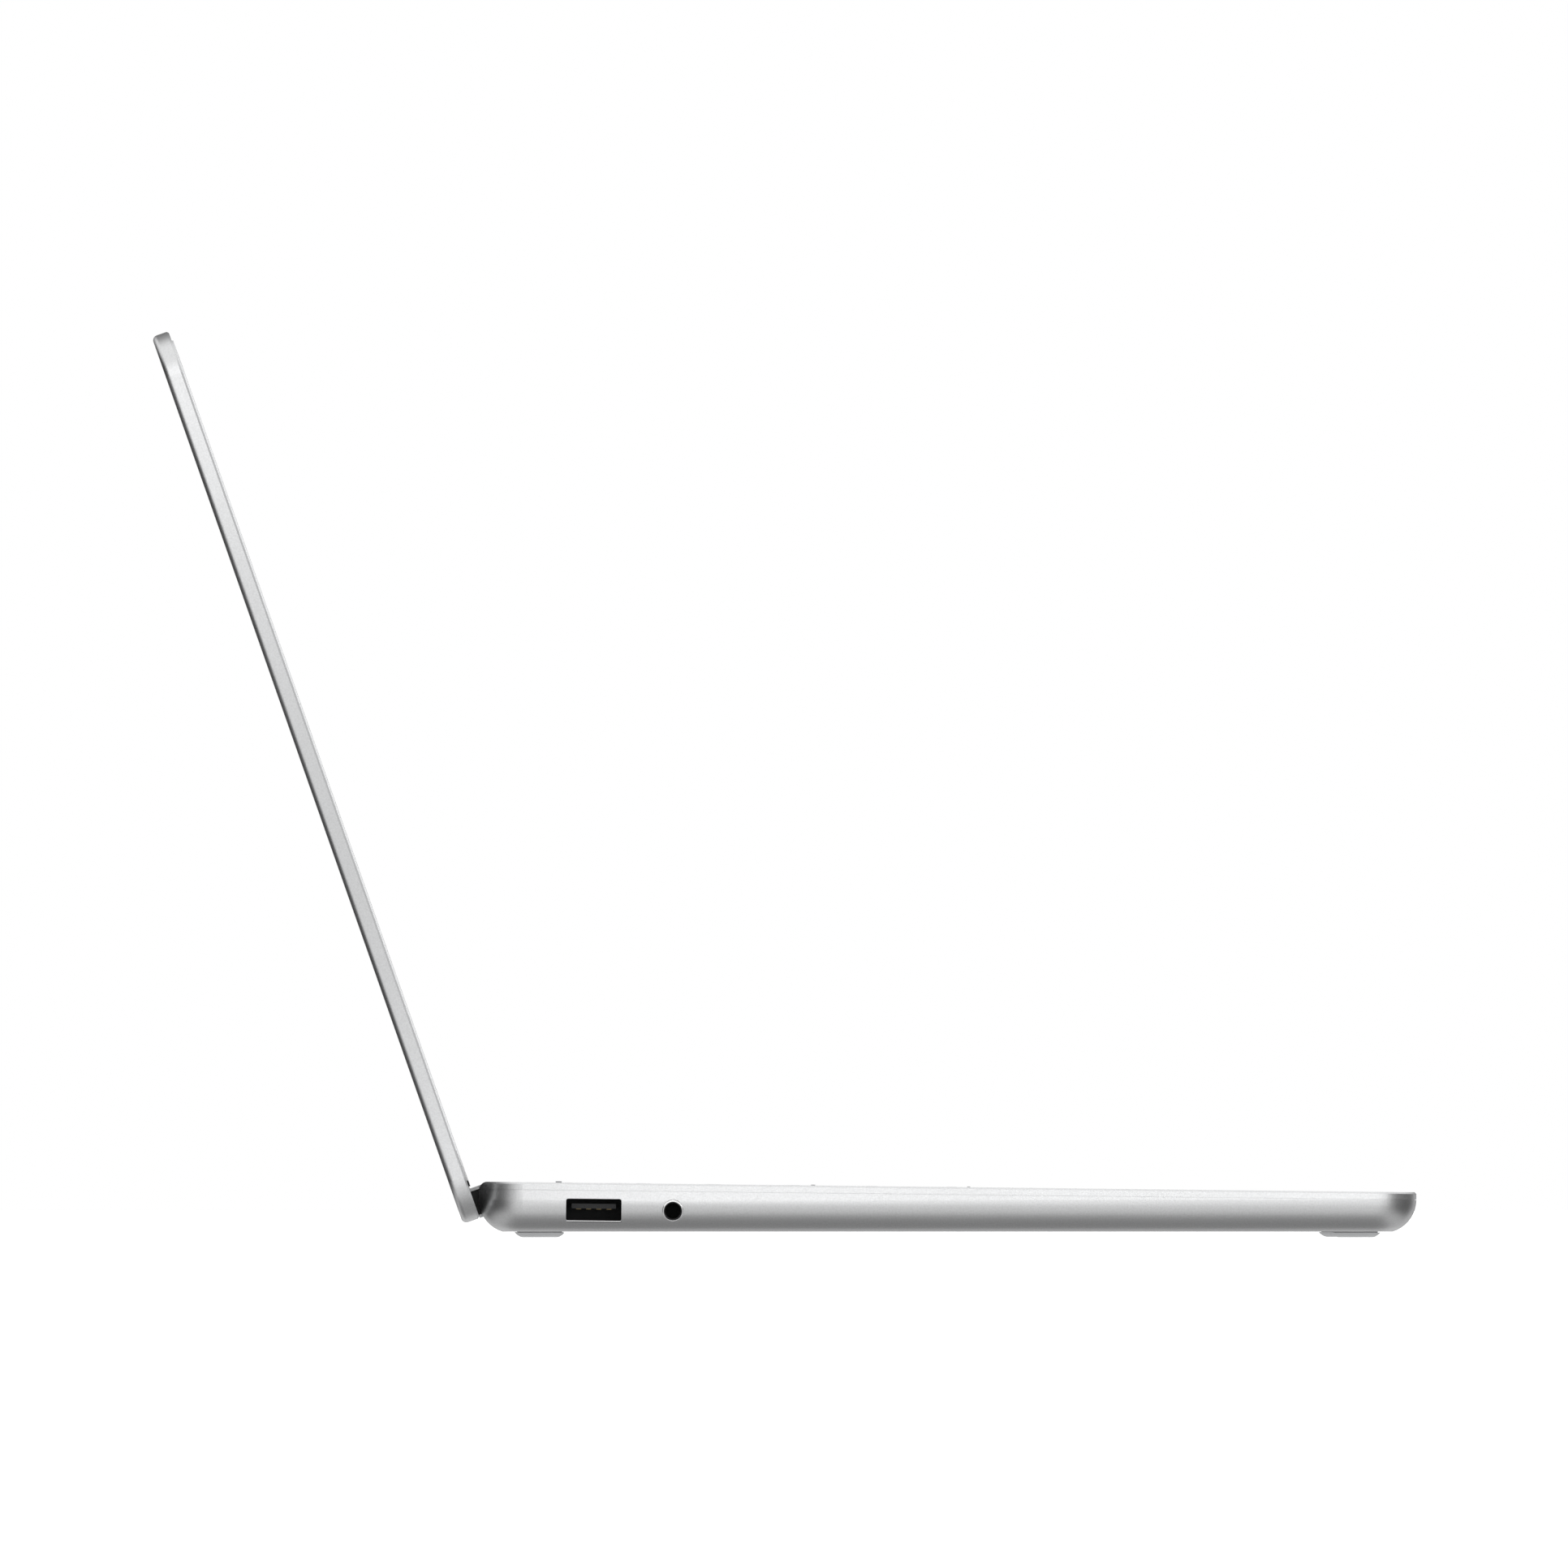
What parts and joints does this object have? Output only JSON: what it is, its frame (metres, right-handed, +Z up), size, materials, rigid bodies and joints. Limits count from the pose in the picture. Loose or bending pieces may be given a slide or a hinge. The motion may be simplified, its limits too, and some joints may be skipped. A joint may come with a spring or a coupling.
{
  "type": "laptop computer",
  "caption": "Slim metal laptop computer standing open, with a hinged lid and display, sinking keys, a clicking trackpad, side ports and rubber feet.",
  "frame": {"origin": "under the middle of the whole open laptop, on the surface it stands on", "axes": "+Z up, +X to the user's right, -Y towards the user"},
  "size_m": [0.2856, 0.2874, 0.206],
  "materials": {
    "case_metal": "bead-blasted and anodised",
    "key_plastic": "fine matt",
    "trackpad_glass": "satin glass",
    "screen_glass": "polished, black behind",
    "gasket": "soft matt",
    "foot_rubber": "smooth matt",
    "bright_steel": "bright",
    "dark_steel": "dark",
    "port_plastic": "moulded",
    "dark_plastic": "moulded",
    "circuit_board": "solder mask",
    "chip_plastic": "moulded",
    "battery_wrap": "matt film",
    "copper": "satin copper",
    "ribbon_film": "polyimide film",
    "lens_glass": "polished"
  },
  "bodies": {
    "base": {"bottom_cover": "case_metal", "top_case": "case_metal", "usb_a_shell": "bright_steel", "usb_a_tongue": "port_plastic", "usb_c_shell": "bright_steel", "usb_c_tongue": "port_plastic", "audio_jack": "dark_plastic", "key_membrane": "dark_plastic", "keyboard_plate": "dark_steel", "trackpad_bracket": "bright_steel", "trackpad_switch": "dark_plastic", "motherboard": "circuit_board", "board_standoffs": "bright_steel", "board_chips": "chip_plastic", "solid_state_drive": "circuit_board", "wireless_card": "circuit_board", "battery_cells": "battery_wrap", "battery_tray": "dark_plastic", "battery_pads": "gasket", "fan_housing": "dark_plastic", "heat_sink_fins": "copper", "heat_pipe": "copper", "speaker_left": "dark_plastic", "speaker_right": "dark_plastic", "keyboard_ribbon": "ribbon_film", "trackpad_ribbon": "ribbon_film", "bottom_cover_screws": "bright_steel", "feet": "foot_rubber", "hinge_bracket_left": "dark_steel", "hinge_bracket_right": "dark_steel"},
    "lid": {"lid_back_cover": "case_metal", "lid_gasket": "gasket", "display_glass": "screen_glass", "display_panel": "dark_plastic", "camera_module": "circuit_board", "camera_lens": "lens_glass", "wireless_antennas": "ribbon_film", "display_cable": "ribbon_film", "hinge_cover": "case_metal", "hinge_end_caps": "dark_plastic", "hinge_pins": "bright_steel", "hinge_leaves": "dark_steel"},
    "trackpad": {"trackpad_plate": "trackpad_glass"},
    "fan": {"fan_rotor": "dark_plastic"},
    "function_keys": {"function_keys": "key_plastic"},
    "power_key": {"power_key": "key_plastic"},
    "number_keys": {"number_keys": "key_plastic"},
    "backspace_key": {"backspace_key": "key_plastic"},
    "tab_key": {"tab_key": "key_plastic"},
    "upper_letter_keys": {"upper_letter_keys": "key_plastic"},
    "caps_lock_key": {"caps_lock_key": "key_plastic"},
    "home_letter_keys": {"home_letter_keys": "key_plastic"},
    "enter_key": {"enter_key": "key_plastic"},
    "left_shift_key": {"left_shift_key": "key_plastic"},
    "lower_letter_keys": {"lower_letter_keys": "key_plastic"},
    "right_shift_key": {"right_shift_key": "key_plastic"},
    "modifier_keys": {"modifier_keys": "key_plastic"},
    "space_bar": {"space_bar": "key_plastic"},
    "arrow_keys": {"arrow_keys": "key_plastic"}
  },
  "joints": [
    {"name": "lid_hinge", "type": "hinge", "parent": "base", "child": "lid", "pos_m": [0, 0.06673, 0.00907], "axis": [-1, 0, 0], "range_deg": [-110, 13]},
    {"name": "trackpad_press", "type": "hinge", "parent": "base", "child": "trackpad", "pos_m": [0, -0.05969, 0.0099], "axis": [1, 0, 0], "range_deg": [0, 0.35], "stiffness_Nm_per_rad": 2, "springref_deg": -1.15},
    {"name": "fan_spin", "type": "hinge", "parent": "base", "child": "fan", "pos_m": [0.087, 0.0263, 0.005], "axis": [0, 0, 1], "continuous": true},
    {"name": "function_keys_press", "type": "slide", "parent": "base", "child": "function_keys", "axis": [0, 0.0113, -0.9999], "range_m": [0, 0.0013], "stiffness_N_per_m": 400, "springref_m": -0.0005},
    {"name": "power_key_press", "type": "slide", "parent": "base", "child": "power_key", "axis": [0, 0.0113, -0.9999], "range_m": [0, 0.0013], "stiffness_N_per_m": 200, "springref_m": -0.0005},
    {"name": "number_keys_press", "type": "slide", "parent": "base", "child": "number_keys", "axis": [0, 0.0113, -0.9999], "range_m": [0, 0.0013], "stiffness_N_per_m": 400, "springref_m": -0.0005},
    {"name": "backspace_key_press", "type": "slide", "parent": "base", "child": "backspace_key", "axis": [0, 0.0113, -0.9999], "range_m": [0, 0.0013], "stiffness_N_per_m": 200, "springref_m": -0.0005},
    {"name": "tab_key_press", "type": "slide", "parent": "base", "child": "tab_key", "axis": [0, 0.0113, -0.9999], "range_m": [0, 0.0013], "stiffness_N_per_m": 200, "springref_m": -0.0005},
    {"name": "upper_letter_keys_press", "type": "slide", "parent": "base", "child": "upper_letter_keys", "axis": [0, 0.0113, -0.9999], "range_m": [0, 0.0013], "stiffness_N_per_m": 400, "springref_m": -0.0005},
    {"name": "caps_lock_key_press", "type": "slide", "parent": "base", "child": "caps_lock_key", "axis": [0, 0.0113, -0.9999], "range_m": [0, 0.0013], "stiffness_N_per_m": 200, "springref_m": -0.0005},
    {"name": "home_letter_keys_press", "type": "slide", "parent": "base", "child": "home_letter_keys", "axis": [0, 0.0113, -0.9999], "range_m": [0, 0.0013], "stiffness_N_per_m": 400, "springref_m": -0.0005},
    {"name": "enter_key_press", "type": "slide", "parent": "base", "child": "enter_key", "axis": [0, 0.0113, -0.9999], "range_m": [0, 0.0013], "stiffness_N_per_m": 200, "springref_m": -0.0005},
    {"name": "left_shift_key_press", "type": "slide", "parent": "base", "child": "left_shift_key", "axis": [0, 0.0113, -0.9999], "range_m": [0, 0.0013], "stiffness_N_per_m": 200, "springref_m": -0.0005},
    {"name": "lower_letter_keys_press", "type": "slide", "parent": "base", "child": "lower_letter_keys", "axis": [0, 0.0113, -0.9999], "range_m": [0, 0.0013], "stiffness_N_per_m": 400, "springref_m": -0.0005},
    {"name": "right_shift_key_press", "type": "slide", "parent": "base", "child": "right_shift_key", "axis": [0, 0.0113, -0.9999], "range_m": [0, 0.0013], "stiffness_N_per_m": 200, "springref_m": -0.0005},
    {"name": "modifier_keys_press", "type": "slide", "parent": "base", "child": "modifier_keys", "axis": [0, 0.0113, -0.9999], "range_m": [0, 0.0013], "stiffness_N_per_m": 400, "springref_m": -0.0005},
    {"name": "space_bar_press", "type": "slide", "parent": "base", "child": "space_bar", "axis": [0, 0.0113, -0.9999], "range_m": [0, 0.0013], "stiffness_N_per_m": 200, "springref_m": -0.0005},
    {"name": "arrow_keys_press", "type": "slide", "parent": "base", "child": "arrow_keys", "axis": [0, 0.0113, -0.9999], "range_m": [0, 0.0013], "stiffness_N_per_m": 400, "springref_m": -0.0005}
  ]
}
